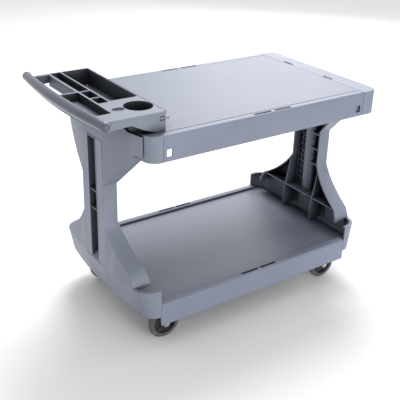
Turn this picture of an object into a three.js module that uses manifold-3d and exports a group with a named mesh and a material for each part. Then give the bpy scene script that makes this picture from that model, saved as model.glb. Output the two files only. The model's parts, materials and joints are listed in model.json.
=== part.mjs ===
// Rolling utility cart: two moulded shelves between two end frames, with a handle tray over one end,
// sliding edge panels that rise to form a lip round each deck, and four casters.
// Millimetres, +Z up, +X away from the handle, origin on the floor under the middle of the cart.
import * as THREE from 'three';
import { mergeVertices } from 'three/addons/utils/BufferGeometryUtils.js';
import Module from 'manifold-3d';

const wasm = await Module();
wasm.setup();

// ---------------------------------------------------------------- driving dimensions
// X is first counted from the joint between the handle end post and the side panels.
const ORIGIN_X = 376.5;
const GAP = 0.4;
const SHORTEST_EDGE = 0.02;

const HALF_WIDTH = 325;
const DECK_TOP = 852;
const DECK_LENGTH = 912;
const CAP_LENGTH = 78;
const PANEL_HEIGHT = 94;
const TOP_SHELF_START = -53;
const TOP_SHELF_BOTTOM = 758;
const SKIN = 6;

const LOWER_TOP = 202;
const LOWER_DECK = 190;
const LOWER_PANEL_HEIGHT = 90;
const LOWER_PANEL_START = -6;
const LOWER_PANEL_END = 898;

const FLANGE_WIDTH = 30;
const PANEL_SKIN = 5;
const PANEL_CLEARANCE = 3;
const WINDOW = { width: 22, height: 26, inset: 14, rise: 17 };
const FINGER_SLOT = { length: 76, width: 9, gap: 15, edge: 12 };

const CORNER_RADIUS = 48;
const BASE_MID_X = 446;

// End frames: a bowed outer face (mid and corner X at three heights) and flanges behind its edges.
const FRAME_MID_X = -104;
const FRAME_MID_LOW_X = -78;
const FRAME_CORNER_X = -83;
const FRAME_CORNER_LOW_X = -58;
const FRAME_CORNER_TOP_X = -60;
const FRAME_BACK_X = -46;
const FRAME_LOW_Z = 150;
const FRAME_RIM_Z = 262;
const FRAME_TOP_Z = 757.4;
const FRAME_CREST_Z = 856;
const FRAME_WEB = 5;
const FRAME_CORNER_RADIUS = 66;
const BOW_HALF = 277;
const COLUMN = { half: 82, low: 446, high: 600 };
const FOOT = { half: 258, low: 250, high: 266, curveStart: [240, 300], curveTurn: [126, 363] };
const FLARE = { half: 247, z: 773 };
const EAR = { half: 285, inner: 204, shoulder: 222, low: 773, high: 846 };
const RIB = 4;
const RIB_GAP = 2.5;
const LEG_RIBS = {
  longY: 90, longTop: 432, crossZ: 296, crossHalf: 236, shortZ: [440, 510, 580, 650, 720], shortReach: 150,
};

const SLOT = { half: 28, low: 286, high: 762, depth: 44, wall: 4, squash: 0.62, ribs: [475, 550] };
const LADDER = {
  front: -78, inner: -33, middle: -54, outer: -79, low: 252, pitch: 27, rungs: 19, depth: 15,
};
const SKIRT = {
  x: -72, half: 256, low: 200, recesses: [[-88, -38], [92, 138]], webs: [-256, -172, 172, 256],
};

const TRAY_TOP = 920;
const TRAY_HALF = 285;
const TRAY_END_X = 32;
const TRAY_SEAT_DEPTH = 0.8;
const BAR = { radius: 16, swell: 3.5, halfLength: 322, endX: -199, bow: 24.5, z: 920, drop: 5 };

const WHEEL_RADIUS = 63.5;
const TYRE_WIDTH = 32;
const SWIVEL_WHEEL_X = 52;
const RIGID_WHEEL_X = 857;
const TRAIL = 30;
const CASTER_Y = 245;
const CASTER_TOP = 158;
const AXLE_RADIUS = 5;

// ---------------------------------------------------------------- solid helpers
function solid(geometry) {
  geometry.deleteAttribute('normal');
  geometry.deleteAttribute('uv');
  const merged = mergeVertices(geometry, 1e-4);
  return new wasm.Manifold(new wasm.Mesh({
    numProp: 3,
    vertProperties: Float32Array.from(merged.attributes.position.array),
    triVerts: Uint32Array.from(merged.index.array),
  }));
}

function toGeometry(body) {
  const mesh = body.simplify(SHORTEST_EDGE).getMesh();
  const geometry = new THREE.BufferGeometry();
  geometry.setAttribute('position', new THREE.BufferAttribute(mesh.vertProperties, 3));
  geometry.setIndex(new THREE.BufferAttribute(mesh.triVerts, 1));
  geometry.computeVertexNormals();
  return geometry;
}

function join(...bodies) {
  return bodies.reduce((whole, body) => whole.add(body));
}

function box(x0, x1, y0, y1, z0, z1) {
  const geometry = new THREE.BoxGeometry(x1 - x0, y1 - y0, z1 - z0);
  geometry.translate((x0 + x1) / 2, (y0 + y1) / 2, (z0 + z1) / 2);
  return solid(geometry);
}

function outline(points) {
  return new THREE.Shape(points.map(([u, v]) => new THREE.Vector2(u, v)));
}

function extrude(shape, depth, curveSegments = 8) {
  return new THREE.ExtrudeGeometry(shape, { depth, bevelEnabled: false, curveSegments });
}

// A plan outline (x, y) raised from z0 to z1.
function prismZ(shape, z0, z1, curveSegments) {
  return solid(extrude(shape, z1 - z0, curveSegments).translate(0, 0, z0));
}

// A side outline (x, z) carried from y0 to y1.
function prismY(shape, y0, y1, curveSegments) {
  return solid(extrude(shape, y1 - y0, curveSegments).rotateX(Math.PI / 2).translate(0, y1, 0));
}

// An end outline (y, z) carried from x0 to x1.
function prismX(shape, x0, x1, curveSegments) {
  const turn = new THREE.Matrix4().set(0, 0, 1, x0, 1, 0, 0, 0, 0, 1, 0, 0, 0, 0, 0, 1);
  return solid(extrude(shape, x1 - x0, curveSegments).applyMatrix4(turn));
}

// A rectangle in plan; radii are those of the corners, anticlockwise from the lowest x and y.
function roundedRect(x0, x1, y0, y1, radii) {
  const corners = [[x0, y0, 1, 1], [x1, y0, -1, 1], [x1, y1, -1, -1], [x0, y1, 1, -1]];
  const points = [];
  corners.forEach(([x, y, inX, inY], corner) => {
    const radius = radii[corner];
    const steps = radius > 0 ? Math.max(2, Math.round(radius / 8)) : 0;
    for (let i = 0; i <= steps; i += 1) {
      const angle = Math.PI * (1 + corner / 2) + (steps > 0 ? (Math.PI / 2) * (i / steps) : 0);
      const reach = steps > 0 ? radius : 0;
      points.push([x + inX * reach + reach * Math.cos(angle), y + inY * reach + reach * Math.sin(angle)]);
    }
  });
  return outline(points);
}

// Closed rings of equal point count, joined from the first to the last, with flat ends.
function loft(rings, project) {
  const contour = rings[0].map((point) => new THREE.Vector2(...project(point)));
  const ordered = THREE.ShapeUtils.area(contour) < 0 ? rings.map((ring) => [...ring].reverse()) : rings;
  const count = ordered[0].length;
  const index = [];
  for (let ring = 0; ring < ordered.length - 1; ring += 1) {
    for (let i = 0; i < count; i += 1) {
      const next = (i + 1) % count;
      const low = ring * count;
      const high = low + count;
      index.push(low + i, low + next, high + next, low + i, high + next, high + i);
    }
  }
  const endContour = ordered[0].map((point) => new THREE.Vector2(...project(point)));
  const last = (ordered.length - 1) * count;
  for (const [a, b, c] of THREE.ShapeUtils.triangulateShape(endContour, [])) {
    index.push(a, c, b, last + a, last + b, last + c);
  }
  const geometry = new THREE.BufferGeometry();
  geometry.setAttribute('position', new THREE.Float32BufferAttribute(ordered.flat(2), 3));
  geometry.setIndex(index);
  return solid(geometry);
}

// A profile of [radius, height] pairs turned about Z.
function turned(profile, segments = 28) {
  return solid(new THREE.LatheGeometry(profile.map(([r, h]) => new THREE.Vector2(r, h)), segments)
    .rotateX(Math.PI / 2));
}

function rod(radius, length, segments = 16) {
  return solid(new THREE.CylinderGeometry(radius, radius, length, segments).rotateX(Math.PI / 2));
}

function hexRod(radius, length) {
  return rod(radius, length, 6);
}

function alongY(body) {
  return body.rotate([90, 0, 0]);
}

function mix(a, b, t) {
  return a + (b - a) * THREE.MathUtils.clamp(t, 0, 1);
}

// ---------------------------------------------------------------- scene graph
const cart = new THREE.Group();
cart.position.x = -ORIGIN_X;

const FINISH = {
  shell: { color: 0x7d8496, roughness: 0.5, metalness: 0 },
  panel: { color: 0x8990a0, roughness: 0.48, metalness: 0 },
  grip: { color: 0x5f6478, roughness: 0.3, metalness: 0 },
  steel: { color: 0xb9bcc0, roughness: 0.3, metalness: 1 },
  hub: { color: 0x17181a, roughness: 0.45, metalness: 0 },
  tyre: { color: 0x4a4c50, roughness: 0.75, metalness: 0 },
};

function place(name, finish, body) {
  const mesh = new THREE.Mesh(toGeometry(body), new THREE.MeshStandardMaterial(FINISH[finish]));
  mesh.name = name;
  cart.add(mesh);
}

// ---------------------------------------------------------------- end frames
// The outer face bows outwards in plan and leans out as it rises to the rim.
function cornerX(z) {
  if (z <= FRAME_RIM_Z) {
    return mix(FRAME_CORNER_LOW_X, FRAME_CORNER_X, (z - FRAME_LOW_Z) / (FRAME_RIM_Z - FRAME_LOW_Z));
  }
  return mix(FRAME_CORNER_X, FRAME_CORNER_TOP_X, (z - FRAME_RIM_Z) / (FRAME_TOP_Z - FRAME_RIM_Z));
}

function middleX(z) {
  return mix(FRAME_MID_LOW_X, FRAME_MID_X, (z - FRAME_LOW_Z) / (FRAME_RIM_Z - FRAME_LOW_Z));
}

function outerX(y, z) {
  const share = Math.min(1, Math.abs(y) / BOW_HALF) ** 2;
  return mix(middleX(z), cornerX(z), share);
}

// The flanges deepen above and below the column.
function backX(z) {
  const above = 0.277 * Math.max(0, z - COLUMN.high);
  const below = 0.19 * Math.max(0, COLUMN.low - z);
  return FRAME_BACK_X + Math.min(above, 44) + Math.min(below, 35);
}

// Plan curve of the wall's face, from the near side return round to the far side return.
function endCurve(z, inset, returnX) {
  const full = mix(CORNER_RADIUS, FRAME_CORNER_RADIUS, (z - FRAME_LOW_Z) / (FRAME_RIM_Z - FRAME_LOW_Z));
  const cornerY = HALF_WIDTH - full;
  const radius = full - inset;
  const centreX = outerX(cornerY, z) + full;
  const points = [[returnX, -(HALF_WIDTH - inset), z]];
  const arcSteps = 6;
  for (let i = 0; i <= arcSteps; i += 1) {
    const angle = -Math.PI / 2 - (Math.PI / 2) * (i / arcSteps);
    points.push([centreX + radius * Math.cos(angle), -cornerY + radius * Math.sin(angle), z]);
  }
  const bowSteps = 8;
  for (let i = 1; i < bowSteps; i += 1) {
    const y = mix(-cornerY, cornerY, i / bowSteps);
    points.push([outerX(y, z) + inset, y, z]);
  }
  const mirrored = points.slice(0, arcSteps + 2).map(([x, y]) => [x, -y, z]);
  return [...points, ...mirrored.reverse()];
}

// The band between two insets from the wall's face, from one height to another.
function wallBand(inner, outer, returnX, z0, z1) {
  const rings = [z0, z1].map((z) => [
    ...endCurve(z, inner, returnX),
    ...endCurve(z, outer, returnX).reverse(),
  ]);
  return loft(rings, ([x, y]) => [x, y]);
}

// The low wall round the end of the lower deck, with a wider rim at its two corners.
function footWall() {
  const returnX = LOWER_PANEL_START - GAP;
  const wall = wallBand(0, FRAME_WEB, returnX, FRAME_LOW_Z, FRAME_RIM_Z);
  const rim = wallBand(0, 13, returnX, FRAME_RIM_Z - 5, FRAME_RIM_Z);
  const middle = box(-200, 100, -FOOT.half + 20, FOOT.half - 20, 0, 1000);
  return wall.add(rim.subtract(middle));
}

// Everything between an offset from the bowed face and an inset from the back of the flanges.
function bowedBlock(offset, backInset, z0, z1) {
  const flanks = [COLUMN.half + 3, 140, 195, 245, EAR.half];
  const stations = [...flanks.map((y) => -y).reverse(), ...flanks];
  const levels = [z0, FRAME_LOW_Z, FRAME_RIM_Z, COLUMN.low, COLUMN.high, FRAME_TOP_Z, z1];
  const rings = levels.map((z) => {
    const front = stations.map((y) => [outerX(y, z) + offset, y, z]);
    const back = stations.map((y) => [backX(z) - backInset, y, z]).reverse();
    return [...front, ...back];
  });
  return loft(rings, ([x, y]) => [x, y]);
}

// The frame's outline seen from the end: foot, concave flare, column, straight flare.
function frameOutline(inset) {
  const slant = inset * 1.4;
  const [startY, startZ] = FOOT.curveStart;
  const [turnY, turnZ] = FOOT.curveTurn;
  const shape = new THREE.Shape();
  const below = inset > 0 ? 20 : 0;
  shape.moveTo(FOOT.half - slant, FOOT.low - below);
  shape.lineTo(FOOT.half - slant, FOOT.high);
  shape.lineTo(startY - slant, startZ);
  shape.quadraticCurveTo(turnY - slant, turnZ, COLUMN.half - inset, COLUMN.low);
  shape.lineTo(COLUMN.half - inset, COLUMN.high);
  shape.lineTo(FLARE.half - slant, FLARE.z);
  shape.lineTo(FLARE.half - slant, FRAME_CREST_Z + below);
  shape.lineTo(-FLARE.half + slant, FRAME_CREST_Z + below);
  shape.lineTo(-FLARE.half + slant, FLARE.z);
  shape.lineTo(-COLUMN.half + inset, COLUMN.high);
  shape.lineTo(-COLUMN.half + inset, COLUMN.low);
  shape.quadraticCurveTo(-turnY + slant, turnZ, -startY + slant, startZ);
  shape.lineTo(-FOOT.half + slant, FOOT.high);
  shape.lineTo(-FOOT.half + slant, FOOT.low - below);
  return shape;
}

function legPrism(inset) {
  return prismX(frameOutline(inset), -160, 60, 7);
}

function legShell() {
  const envelope = legPrism(0).intersect(bowedBlock(0, 0, 100, 900));
  const cavity = legPrism(SKIN).intersect(bowedBlock(FRAME_WEB, -60, 90, 920));
  return envelope.subtract(cavity);
}

// Stiffening inside the leg: two long ribs down to the deck, one across, short ones beside the slot.
function legRibs() {
  const front = FRAME_MID_X + 3;
  const back = FRAME_BACK_X + 40;
  const { longY, longTop, crossZ, crossHalf, shortZ, shortReach } = LEG_RIBS;
  const ribs = [-longY, longY].map((y) =>
    box(front, back, y - RIB / 2, y + RIB / 2, LOWER_DECK + RIB_GAP, longTop));
  ribs.push(box(front, back, -crossHalf, crossHalf, crossZ, crossZ + RIB));
  for (const z of shortZ) {
    ribs.push(box(front, back, SLOT.half, shortReach, z, z + RIB));
  }
  const reach = bowedBlock(2, 5, 100, 900);
  return join(...ribs).intersect(reach).intersect(legPrism(SKIN / 2).add(box(-200, 60, -95, 95, 100, 300)));
}

// A strip of two columns of open pockets beside the slot.
function ladder() {
  const { front, inner, middle, outer, low, pitch, rungs, depth } = LADDER;
  const high = low + pitch * rungs + RIB;
  const strip = box(FRAME_MID_X + 3, front, outer, inner, low, high);
  const pockets = [];
  for (let rung = 0; rung < rungs; rung += 1) {
    const z = low + RIB + pitch * rung;
    pockets.push(box(front - depth, front + 5, outer + RIB, middle - RIB / 2, z, z + pitch - RIB));
    pockets.push(box(front - depth, front + 5, middle + RIB / 2, inner - RIB, z, z + pitch - RIB));
  }
  return strip.subtract(join(...pockets));
}

// The upright slot for long tools: a flat-sided trough with a rounded back.
function slotTrough(grown, x0, low, high) {
  const half = SLOT.half + grown;
  const centreX = FRAME_MID_X + SLOT.depth - SLOT.half * SLOT.squash;
  return join(
    box(x0, centreX, -half, half, low, high),
    rod(half, high - low, 24).scale([SLOT.squash, 1, 1]).translate([centreX, 0, (high + low) / 2]),
  );
}

// The sloping floor at the foot of the tool slot, cut through the outer face.
function scoop() {
  const profile = outline([
    [FRAME_MID_X - 20, SLOT.low - 30],
    [FRAME_MID_X + 6, SLOT.low - 16],
    [FRAME_MID_X + 26, SLOT.low + 1],
    [FRAME_MID_X - 20, SLOT.low + 1],
  ]);
  return prismY(profile, -SLOT.half + 2, SLOT.half - 2);
}

// The handle end frame rises past the top shelf and spreads to its corners.
function ears() {
  const sides = [-1, 1].map((side) => {
    const [y0, y1] = [side * EAR.inner, side * EAR.half].sort((a, b) => a - b);
    return box(-160, 60, y0, y1, EAR.low, EAR.high);
  });
  return join(...sides).intersect(bowedBlock(0, 0, 100, 900)).subtract(bowedBlock(FRAME_WEB, -60, 90, 920));
}

// What the handle end frame keeps above its flares: the crest between the ears is higher than they are.
function crestOutline() {
  const edge = EAR.half + 5;
  return outline([
    [-HALF_WIDTH - 5, 0], [HALF_WIDTH + 5, 0], [HALF_WIDTH + 5, EAR.low], [edge, EAR.low], [edge, EAR.high],
    [EAR.shoulder, EAR.high], [EAR.inner, FRAME_CREST_Z], [-EAR.inner, FRAME_CREST_Z],
    [-EAR.shoulder, EAR.high], [-edge, EAR.high], [-edge, EAR.low], [-HALF_WIDTH - 5, EAR.low],
  ]);
}

function endFrame(top) {
  const trough = slotTrough(SLOT.wall, FRAME_MID_X + 2, SLOT.low - 22, SLOT.high + SLOT.wall);
  const opening = slotTrough(0, FRAME_MID_X - 20, SLOT.low, SLOT.high).add(scoop());
  const slotRibs = join(...SLOT.ribs.map((z) => box(FRAME_MID_X + 6, FRAME_MID_X + SLOT.depth,
    -SLOT.half - 1, SLOT.half + 1, z - 1.5, z + 1.5)));
  const recesses = join(...SKIRT.recesses.map(([y0, y1]) => box(-100, 0, y0, y1, 0, FRAME_RIM_Z + 5)));
  const skirt = box(SKIRT.x, SKIRT.x + RIB, -SKIRT.half, SKIRT.half, SKIRT.low, FRAME_RIM_Z)
    .subtract(recesses);
  const webs = SKIRT.webs.map((y) =>
    box(FRAME_MID_X, SKIRT.x + 1, y - RIB / 2, y + RIB / 2, SKIRT.low + 10, FRAME_RIM_Z - 2));
  const shadow = bowedBlock(2, -60, 100, 900);
  return join(legShell(), legRibs(), ladder(), trough, skirt, join(...webs).intersect(shadow))
    .subtract(opening)
    .add(slotRibs)
    .add(footWall())
    .intersect(box(-200, 200, -400, 400, 0, top));
}

const shelfClearance = box(TOP_SHELF_START - GAP, 200, -400, 400, TOP_SHELF_BOTTOM - GAP, 1000);
const handleFrame = endFrame(FRAME_CREST_Z).add(ears()).intersect(prismX(crestOutline(), -200, 200));
place('handle_end_frame', 'shell', handleFrame.subtract(shelfClearance));
place('far_end_frame', 'shell', endFrame(FRAME_TOP_Z).rotate([0, 0, 180]).translate([2 * BASE_MID_X, 0, 0]));

// ---------------------------------------------------------------- shelves
const RAIL_HALF = HALF_WIDTH - PANEL_SKIN - PANEL_CLEARANCE;
const STEP_HALF = HALF_WIDTH - FLANGE_WIDTH - 2;
const PAWL = { width: 24, height: 12, depth: 9 };

// Spring catches sit behind each side panel, just below where its lower edge stops when it is raised.
function pawlPlaces(start, end) {
  return [start + 70, end - 70];
}

function sidePawl(x, side, topZ) {
  const y = side * (RAIL_HALF - PAWL.depth / 2);
  return box(x - PAWL.width / 2, x + PAWL.width / 2, y - PAWL.depth / 2, y + PAWL.depth / 2,
    topZ - PAWL.height, topZ);
}

function underRibs(xs, ys, x0, x1, half, z0, z1) {
  const long = ys.map((y) => box(x0, x1, y - RIB / 2, y + RIB / 2, z0, z1));
  const cross = xs.map((x) => box(x - RIB / 2, x + RIB / 2, -half, half, z0, z1));
  return join(...long, ...cross);
}

function fingerPlaces(first) {
  return [first, first + FINGER_SLOT.length + FINGER_SLOT.gap];
}

const FINGER_X = fingerPlaces(383);
const LOWER_FINGER_X = fingerPlaces(368);

function fingerCut(x, side, z0, z1, extra = 0) {
  const outerY = HALF_WIDTH - FINGER_SLOT.edge + extra;
  const innerY = HALF_WIDTH - FINGER_SLOT.edge - FINGER_SLOT.width - extra;
  return box(x - extra, x + FINGER_SLOT.length + extra, Math.min(side * outerY, side * innerY),
    Math.max(side * outerY, side * innerY), z0, z1);
}

const CUP = { x: -19, y: -195, radius: 50, floor: 831, wall: 4 };
const PAWL_TOP = TOP_SHELF_BOTTOM + 66;
const END_PAWL_Y = [-220, 220];
const CAP_END = DECK_LENGTH + CAP_LENGTH;

function topShelf() {
  const capInner = CAP_END - PANEL_SKIN - PANEL_CLEARANCE;
  const body = roundedRect(TOP_SHELF_START, capInner, -RAIL_HALF, RAIL_HALF,
    [CORNER_RADIUS, 34, 34, CORNER_RADIUS]);
  const post = roundedRect(TOP_SHELF_START, -0.5, -HALF_WIDTH, HALF_WIDTH,
    [CORNER_RADIUS, 0, 0, CORNER_RADIUS]);
  const deck = roundedRect(TOP_SHELF_START, DECK_LENGTH - 1, -STEP_HALF, STEP_HALF,
    [CORNER_RADIUS, 0, 0, CORNER_RADIUS]);
  const ledge = DECK_TOP - PANEL_SKIN - 1;
  const hollow = roundedRect(TOP_SHELF_START + SKIN, capInner - SKIN, -RAIL_HALF + SKIN, RAIL_HALF - SKIN,
    [CORNER_RADIUS - SKIN, 30, 30, CORNER_RADIUS - SKIN]);
  const ribs = underRibs([150, 300, 456, 610, 760], [-155, 155], TOP_SHELF_START + 2, capInner - 2,
    RAIL_HALF - 2, 806, DECK_TOP - 5);
  const cup = rod(CUP.radius + CUP.wall + 2, 200, 24).translate([CUP.x, CUP.y, CUP.floor - 10 + 100]);
  const underDeck = box(SKIN, DECK_LENGTH - SKIN, -STEP_HALF + SKIN, STEP_HALF - SKIN, 800, DECK_TOP - SKIN);
  const hollowPart = prismZ(hollow, TOP_SHELF_BOTTOM - 5, ledge - SKIN).add(underDeck);
  let shelf = prismZ(body, TOP_SHELF_BOTTOM, ledge)
    .add(prismZ(post, TOP_SHELF_BOTTOM, DECK_TOP))
    .add(prismZ(deck, ledge - 2, DECK_TOP))
    .subtract(hollowPart)
    .add(ribs)
    .subtract(cup);
  for (const side of [-1, 1]) {
    for (const x of FINGER_X) {
      shelf = shelf.subtract(fingerCut(x, side, 790, ledge + 1, 2));
    }
    for (const x of pawlPlaces(0, DECK_LENGTH)) {
      shelf = shelf.subtract(pocketCut(x, side, PAWL_TOP));
    }
  }
  for (const y of END_PAWL_Y) {
    shelf = shelf.subtract(box(capInner - PAWL.depth - 0.3, capInner + 5, y - PAWL.width / 2 - 0.3,
      y + PAWL.width / 2 + 0.3, PAWL_TOP - PAWL.height - 0.3, PAWL_TOP + 0.3));
  }
  const traySeat = box(TOP_SHELF_START - 5, TRAY_END_X + 2, -TRAY_HALF - 2, TRAY_HALF + 2,
    DECK_TOP - TRAY_SEAT_DEPTH, DECK_TOP + 5);
  shelf = shelf.subtract(traySeat);
  const windowHole = windowCut(WINDOW.inset, 5);
  shelf = shelf.subtract(windowHole).subtract(windowHole.mirror([0, 1, 0]));
  for (const y of CAP_SLOT_Y) {
    shelf = shelf.subtract(box(CAP_SLOT_X - 2, CAP_SLOT_X + FINGER_SLOT.width + 2, y - 2,
      y + CAP_SLOT_LENGTH + 2, 790, ledge + 1));
  }
  return shelf;
}

function pocketCut(x, side, topZ) {
  const inner = RAIL_HALF - PAWL.depth - 0.3;
  const outer = RAIL_HALF + 5;
  return box(x - PAWL.width / 2 - 0.3, x + PAWL.width / 2 + 0.3, Math.min(side * inner, side * outer),
    Math.max(side * inner, side * outer), topZ - PAWL.height - 0.3, topZ + 0.3);
}

const HOOK = { root: 20, height: 8, pocket: 3.2 };
const TRAY_HOOK_Z = 897;
const CAP_HOOK_Z = 836;
const CAP_SLOT_X = DECK_LENGTH + 8;
const CAP_SLOT_LENGTH = 54;
const CAP_SLOT_Y = [-132, 116];

place('top_shelf', 'shell', topShelf());

const LOWER_PAWL_TOP = LOWER_TOP - LOWER_PANEL_HEIGHT + 60;
const LOWER_RAIL_BOTTOM = 122;
const GUTTER = { start: -50, half: 285, depth: 20 };

function bottomShelf() {
  const deckZ = LOWER_DECK - SKIN;
  const deckCurve = endCurve(deckZ, FRAME_WEB + 0.8, LOWER_PANEL_START + 2);
  const farCurve = deckCurve.map(([x, y, z]) => [2 * BASE_MID_X - x, -y, z]);
  const ring = [...deckCurve, ...farCurve];
  const deck = loft([ring, ring.map(([x, y]) => [x, y, LOWER_DECK])], ([x, y]) => [x, y]);
  const gutterEnd = 2 * BASE_MID_X - GUTTER.start;
  const gutterFloor = deck.subtract(box(GUTTER.start + 4, gutterEnd - 4, -400, 400, 0, 400));
  const railStart = LOWER_PANEL_START + 4;
  const railEnd = LOWER_PANEL_END - 4;
  let shelf = deck.intersect(box(-200, 1200, -RAIL_HALF, RAIL_HALF, 0, 400));
  for (const side of [-1, 1]) {
    const outer = side * RAIL_HALF;
    const inner = side * (RAIL_HALF - 18);
    shelf = shelf.add(box(railStart, railEnd, Math.min(inner, outer), Math.max(inner, outer),
      deckZ, LOWER_TOP - PANEL_SKIN - 1));
    const skin = side * (RAIL_HALF - SKIN);
    shelf = shelf.add(box(railStart, railEnd, Math.min(skin, outer), Math.max(skin, outer),
      LOWER_RAIL_BOTTOM, LOWER_DECK));
  }
  shelf = shelf.add(underRibs([52, 130, 290, 446, 602, 760, 840], [-175, 175], -46, 938, RAIL_HALF - 4,
    160, deckZ + 1));
  for (const [x, y] of CASTER_SPOTS) {
    shelf = shelf.add(box(x - 58, x + 58, y - 50, y + 50, CASTER_TOP + GAP, deckZ + 1));
  }
  for (const side of [-1, 1]) {
    for (const x of LOWER_FINGER_X) {
      shelf = shelf.subtract(fingerCut(x, side, LOWER_DECK - 14, LOWER_TOP, 2));
    }
    for (const x of pawlPlaces(LOWER_PANEL_START, LOWER_PANEL_END)) {
      shelf = shelf.subtract(pocketCut(x, side, LOWER_PAWL_TOP));
    }
  }
  const gutterLow = LOWER_DECK - GUTTER.depth;
  for (const [x0, x1] of [[-100, GUTTER.start], [gutterEnd, 1000]]) {
    shelf = shelf.subtract(box(x0, x1, -GUTTER.half, GUTTER.half, gutterLow, LOWER_DECK + 10));
    const trench = gutterFloor.intersect(box(x0 - 5, x1 + 5, -GUTTER.half, GUTTER.half, 0, 400));
    shelf = shelf.add(trench.translate([0, 0, -GUTTER.depth]));
  }
  return shelf.subtract(endWallClearance());
}

const SWIVEL_X = SWIVEL_WHEEL_X + TRAIL;
const CASTER_SPOTS = [
  [SWIVEL_X, -CASTER_Y], [SWIVEL_X, CASTER_Y], [RIGID_WHEEL_X, -CASTER_Y], [RIGID_WHEEL_X, CASTER_Y],
];

function endWallClearance() {
  const levels = [FRAME_LOW_Z - 1, FRAME_LOW_Z, FRAME_RIM_Z];
  const rings = levels.map((z) => [
    ...endCurve(z, -1, LOWER_PANEL_START),
    ...endCurve(z, FRAME_WEB + GAP, LOWER_PANEL_START).reverse(),
  ]);
  const wall = loft(rings, ([x, y]) => [x, y]);
  return wall.add(wall.rotate([0, 0, 180]).translate([2 * BASE_MID_X, 0, 0]));
}

place('bottom_shelf', 'shell', bottomShelf());

// ---------------------------------------------------------------- sliding edge panels
function windowPlaces(start, end) {
  return [start + WINDOW.inset, end - WINDOW.inset - WINDOW.width];
}

// The opening near each lower corner of a top panel, and the larger one behind it in the shelf's rail.
function windowCut(x, grown) {
  const low = DECK_TOP - PANEL_HEIGHT + WINDOW.rise;
  return box(x - grown, x + WINDOW.width + grown, HALF_WIDTH - 20, HALF_WIDTH + 10, low - grown * 2,
    low + WINDOW.height + grown);
}

function sidePanel(start, end, topZ, height, side, fingers, lower) {
  const round = 9;
  const profile = new THREE.Shape();
  profile.moveTo(HALF_WIDTH, topZ - height);
  profile.lineTo(HALF_WIDTH, topZ - round);
  profile.absarc(HALF_WIDTH - round, topZ - round, round, 0, Math.PI / 2);
  profile.lineTo(HALF_WIDTH - FLANGE_WIDTH, topZ);
  profile.lineTo(HALF_WIDTH - FLANGE_WIDTH, topZ - PANEL_SKIN);
  profile.lineTo(HALF_WIDTH - PANEL_SKIN - 3, topZ - PANEL_SKIN);
  profile.lineTo(HALF_WIDTH - PANEL_SKIN, topZ - PANEL_SKIN - 4);
  profile.lineTo(HALF_WIDTH - PANEL_SKIN, topZ - height);
  let panel = prismX(profile, start, end);
  for (const x of fingers) {
    panel = panel.subtract(fingerCut(x, 1, topZ - 20, topZ + 5));
  }
  if (lower) {
    const groove = HALF_WIDTH - FLANGE_WIDTH + 5;
    panel = panel.subtract(box(start - 1, end + 1, groove, groove + 3, topZ - 1.5, topZ + 1));
  } else {
    for (const x of windowPlaces(start, end)) {
      panel = panel.subtract(windowCut(x, 0));
    }
  }
  if (side > 0) {
    return panel;
  }
  const length = start + end;
  return panel.rotate([0, 0, 180]).translate([length, 0, 0]);
}

const CAP_CORNER = 40;

function endPanel() {
  const corner = CAP_CORNER;
  const start = DECK_LENGTH + 0.8;
  const outer = roundedRect(start, CAP_END, -HALF_WIDTH, HALF_WIDTH, [0, corner, corner, 0]);
  const innerHalf = HALF_WIDTH - PANEL_SKIN;
  const inner = roundedRect(start - 60, CAP_END - PANEL_SKIN, -innerHalf, innerHalf,
    [0, corner - PANEL_SKIN, corner - PANEL_SKIN, 0]);
  const bottom = DECK_TOP - PANEL_HEIGHT;
  let cap = prismZ(outer, bottom, DECK_TOP).subtract(prismZ(inner, bottom - 5, DECK_TOP - PANEL_SKIN));
  for (const y of CAP_SLOT_Y) {
    cap = cap.subtract(box(CAP_SLOT_X, CAP_SLOT_X + FINGER_SLOT.width, y, y + CAP_SLOT_LENGTH,
      DECK_TOP - 20, DECK_TOP + 5));
  }
  for (const side of [-1, 1]) {
    const edge = HALF_WIDTH - corner;
    const [y0, y1] = [side * (edge - HOOK.root - 3), side * edge].sort((a, b) => a - b);
    cap = cap.subtract(box(CAP_END - HOOK.pocket, CAP_END + 5, y0, y1, CAP_HOOK_Z - HOOK.height,
      CAP_HOOK_Z + HOOK.height));
  }
  return cap;
}

function mirroredFingers(xs, start, end) {
  return xs.map((x) => start + end - x - FINGER_SLOT.length);
}

const topStart = 0.4;
const topEnd = DECK_LENGTH - 0.2;
place('top_near_panel', 'panel', sidePanel(topStart, topEnd, DECK_TOP, PANEL_HEIGHT, -1,
  mirroredFingers(FINGER_X, topStart, topEnd), false));
place('top_far_panel', 'panel', sidePanel(topStart, topEnd, DECK_TOP, PANEL_HEIGHT, 1, FINGER_X, false));
place('top_end_panel', 'panel', endPanel());
place('bottom_near_panel', 'panel', sidePanel(LOWER_PANEL_START + 0.4, LOWER_PANEL_END, LOWER_TOP,
  LOWER_PANEL_HEIGHT, -1, mirroredFingers(LOWER_FINGER_X, LOWER_PANEL_START + 0.4, LOWER_PANEL_END), true));
place('bottom_far_panel', 'panel', sidePanel(LOWER_PANEL_START + 0.4, LOWER_PANEL_END, LOWER_TOP,
  LOWER_PANEL_HEIGHT, 1, LOWER_FINGER_X, true));

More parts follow.
